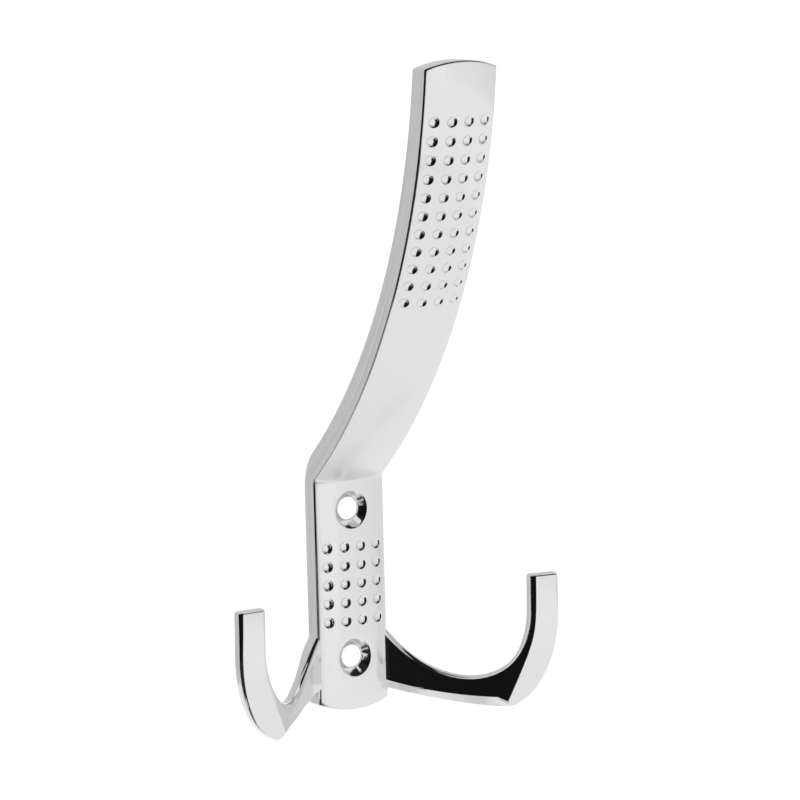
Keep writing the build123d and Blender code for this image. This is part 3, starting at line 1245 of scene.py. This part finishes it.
@dataclass
class Casting:
    """The whole hook as one piece: the bar with a prong on each side."""

    name: str = "hook_casting"
    weld: float = 0.002
    sliver: float = 0.0002
    sharp: float = math.radians(40.0)
    bar: Bar = field(default_factory=Bar)
    prong: Prong = field(default_factory=Prong)

    def build(self, metal: bpy.types.Material) -> bpy.types.Object:
        """Makes the piece and puts it in the frame.

        Args:
            metal: Finish of the whole casting.

        Returns:
            The piece.
        """
        right = self.prong.build()
        whole = Shell()
        for shell in (self.bar.build(metal), right, right.mirrored()):
            whole.append(np.concatenate(shell.points), shell.faces)
        mesh = whole.mesh(self.name, MM)
        work = bmesh.new()
        work.from_mesh(mesh)
        bmesh.ops.remove_doubles(work, verts=work.verts, dist=self.weld * MM)
        bmesh.ops.dissolve_degenerate(work, edges=work.edges, dist=self.sliver * MM)
        bmesh.ops.delete(work, geom=[v for v in work.verts if not v.link_faces], context="VERTS")
        bmesh.ops.recalc_face_normals(work, faces=work.faces)
        open_edges = sum(1 for e in work.edges if len(e.link_faces) != 2)
        work.to_mesh(mesh)
        work.free()
        mesh.materials.append(metal)
        mesh.shade_smooth()
        mesh.set_sharp_from_angle(angle=self.sharp)
        piece = new_object(self.name, mesh)
        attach(piece, "root")
        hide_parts(NODE)
        LOG.info("%s: %d faces, %d open edges", self.name, len(mesh.polygons), open_edges)
        return piece


@dataclass(frozen=True)
class Card:
    """Studio card beside the hook: part of a ball round it, given by directions seen from the hook.

    Directions are in degrees: azimuth 0 is straight out from the wall and grows towards the hook's right, and
    elevation 0 is level. The reach is in metres. The glow runs evenly from one azimuth to the other. A second
    glow holds where the hook mirrors itself, so that a card doesn't darken the image of a prong in the arm.
    """

    name: str
    from_azimuth: float
    to_azimuth: float
    from_elevation: float
    to_elevation: float
    reach: float
    glow: float
    far_glow: float
    second_glow: float | None = None
    across_steps: int = 32
    rise_steps: int = 24

    def build(self, middle: Vector) -> bpy.types.Object:
        """Adds the card, out of sight of the camera so that it only shows in the metal.

        Args:
            middle: Point that the card curves round.

        Returns:
            The card.
        """
        across = np.radians(np.linspace(self.from_azimuth, self.to_azimuth, self.across_steps + 1))
        rise = np.radians(np.linspace(self.from_elevation, self.to_elevation, self.rise_steps + 1))
        turn, lift = np.meshgrid(across, rise)
        way = np.stack([np.sin(turn) * np.cos(lift), -np.cos(turn) * np.cos(lift), np.sin(lift)], -1)
        shell = Shell()
        shell.quads(shell.add(way * self.reach + np.array(middle)))
        mesh = shell.mesh(self.name)
        share = (turn - across[0]) / (across[-1] - across[0])
        mesh.attributes.new("share", "FLOAT", "POINT").data.foreach_set("value", share.ravel())
        paint = new_material(self.name)
        tree = paint.node_tree
        place = add_node(tree, "ShaderNodeAttribute", attribute_name="share").outputs["Fac"]
        ends = {"Value": place, "To Min": self.glow, "To Max": self.far_glow}
        level = add_node(tree, "ShaderNodeMapRange", ends).outputs["Result"]
        if self.second_glow is not None:
            # Glossy Depth is 1 in a plain reflection, and 2 or more where the hook mirrors itself.
            images = add_node(tree, "ShaderNodeLightPath").outputs["Glossy Depth"]
            again = add_node(tree, "ShaderNodeMath", {0: images, 1: 1.5}, operation="GREATER_THAN")
            choice = {"Factor": again.outputs[0], "A": level, "B": self.second_glow}
            level = add_node(tree, "ShaderNodeMix", choice).outputs["Result"]
        glow = add_node(tree, "ShaderNodeEmission", {"Color": linear(WHITE), "Strength": level})
        add_node(tree, "ShaderNodeOutputMaterial", {"Surface": glow.outputs["Emission"]})
        mesh.materials.append(paint)
        card = new_object(self.name, mesh)
        card.visible_camera = False
        return card


@dataclass
class Studio:
    """Pale floor, soft light all round, dark and grey cards for the metal to mirror, and the camera.

    The camera's distances are in millimetres, those of the floor and the cards in metres.
    """

    azimuth: float = math.radians(30.535)
    elevation: float = math.radians(7.324)
    roll: float = math.radians(-1.489)
    distance: float = 889.98
    shift_right: float = -12.41
    shift_up: float = -38.633
    wall_gap: float = -0.4
    lens: float = 186.87
    sensor: float = 36.0
    sight: float = 100.0
    floor_level: float = -0.55
    floor_size: float = 60.0
    floor_colour: str = "#EDEDED"
    floor_roughness: float = 0.9
    floor_lift: float = 0.22
    middle: tuple[float, float, float] = (0.0, -0.02, 0.02)
    # Name, azimuths, elevations, reach, glow from one azimuth to the other, and glow in a second reflection.
    cards: tuple[Card, ...] = (
        Card("dark_card_left", -103, -11, -28, 75, 1.3, 0.008, 0.008, 1.3),
        Card("dark_card_edge", -11, -1, -28, 75, 1.3, 0.008, 0.8, 1.3),
        Card("dark_card_top", -60, 98, 36, 80, 1.25, 0.02, 0.02, 1.3),
        Card("grey_card_right", 0, 112, 10, 36, 1.35, 0.6, 0.6),
        Card("pale_card_right", 16, 112, -13, 10, 1.38, 1.0, 0.8),
        Card("grey_card_back", 190, 255, -24, 76, 1.6, 0.69, 0.69),
        Card("grey_card_rear", 112, 190, -24, 76, 1.6, 0.69, 0.69, 1.25),
        Card("grey_card_low", -150, -40, -78, -27, 0.5, 0.68, 0.68),
        Card("grey_card_fore", -40, -12, -78, -27, 0.5, 0.68, 0.68, 1.25),
        Card("pale_card_low", -12, 212, -90, -24, 0.52, 1.0, 1.0),
        Card("pale_card_far", -3, 106, -28, -13, 1.2, 1.03, 1.03),
        Card("dark_card_front", -50, -2, -54, -20, 0.48, 0.03, 0.03, 0.75),
        Card("dark_card_low", -142, -40, -68, -52, 0.45, 0.1, 0.1, 1.3),
        Card("dark_card_side", -112, -50, -44, -20, 0.47, 0.03, 0.03, 1.3),
        Card("dusk_card_above", -180, 180, 74, 90, 1.22, 0.12, 0.12, 1.0),
    )

    def camera(self) -> None:
        """Adds the camera."""
        sa, ca = math.sin(self.azimuth), math.cos(self.azimuth)
        se, ce = math.sin(self.elevation), math.cos(self.elevation)
        back = Vector((-sa * ce, -ca * ce, se))
        level = Vector((ca, -sa, 0.0))
        upright = back.cross(level)
        cr, sr = math.cos(self.roll), math.sin(self.roll)
        right = level * cr + upright * sr
        up = upright * cr - level * sr
        place = back * self.distance - right * self.shift_right - up * self.shift_up
        place += Vector((0, self.wall_gap, 0))
        data = bpy.data.cameras.new("camera")
        data.lens = self.lens
        data.sensor_width = self.sensor
        data.clip_end = self.sight
        camera = new_object("camera", data)
        turned = Matrix((right, up, back)).transposed().to_4x4()
        camera.matrix_world = Matrix.Translation(place * MM) @ turned
        bpy.context.scene.camera = camera

    @staticmethod
    def seen(tree: bpy.types.NodeTree) -> bpy.types.NodeSocket:
        """Gives 1 for rays that end in the picture: straight, mirrored or through glass."""
        path = add_node(tree, "ShaderNodeLightPath").outputs
        seen = path["Is Camera Ray"]
        for kind in ("Is Glossy Ray", "Is Transmission Ray"):
            seen = add_node(tree, "ShaderNodeMath", {0: seen, 1: path[kind]}, operation="MAXIMUM").outputs[0]
        return seen

    def floor(self) -> None:
        """Adds the floor of white paper, lifted to the background's white where it is seen."""
        half = self.floor_size / 2
        level = self.floor_level
        mesh = bpy.data.meshes.new("floor")
        corners = [(-half, -half, level), (half, -half, level), (half, half, level), (-half, half, level)]
        mesh.from_pydata(corners, [], [(0, 1, 2, 3)])
        paint = new_material("white_floor_paper")
        tree = paint.node_tree
        terms = {0: self.seen(tree), 1: self.floor_lift}
        lift = add_node(tree, "ShaderNodeMath", terms, operation="MULTIPLY")
        paper = add_node(
            tree,
            "ShaderNodeBsdfPrincipled",
            {
                "Base Color": linear(self.floor_colour),
                "Roughness": self.floor_roughness,
                "Specular IOR Level": 0.0,
                "Emission Color": linear(WHITE),
                "Emission Strength": lift.outputs[0],
            },
        )
        add_node(tree, "ShaderNodeOutputMaterial", {"Surface": paper.outputs["BSDF"]})
        mesh.materials.append(paint)
        new_object("floor", mesh)

    def light(self) -> None:
        """Sets the white surround."""
        world = bpy.data.worlds.new("studio")
        bpy.context.scene.world = world
        world.use_nodes = True
        tree = world.node_tree
        tree.nodes.clear()
        glow = add_node(tree, "ShaderNodeBackground", {"Color": linear(WHITE), "Strength": 1.0})
        add_node(tree, "ShaderNodeOutputWorld", {"Surface": glow.outputs["Background"]})

    def build(self) -> None:
        """Adds everything round the object."""
        self.camera()
        self.floor()
        self.light()
        for card in self.cards:
            card.build(Vector(self.middle))
        bpy.context.scene.view_settings.view_transform = "Standard"


def main() -> None:
    """Builds the casting and its studio, and notes the sizes."""
    logging.basicConfig(level=logging.INFO, format="%(name)s: %(message)s")
    metal = PolishedChrome().make()
    Casting().build(metal)
    Studio().build()


if __name__ == "__main__":
    main()
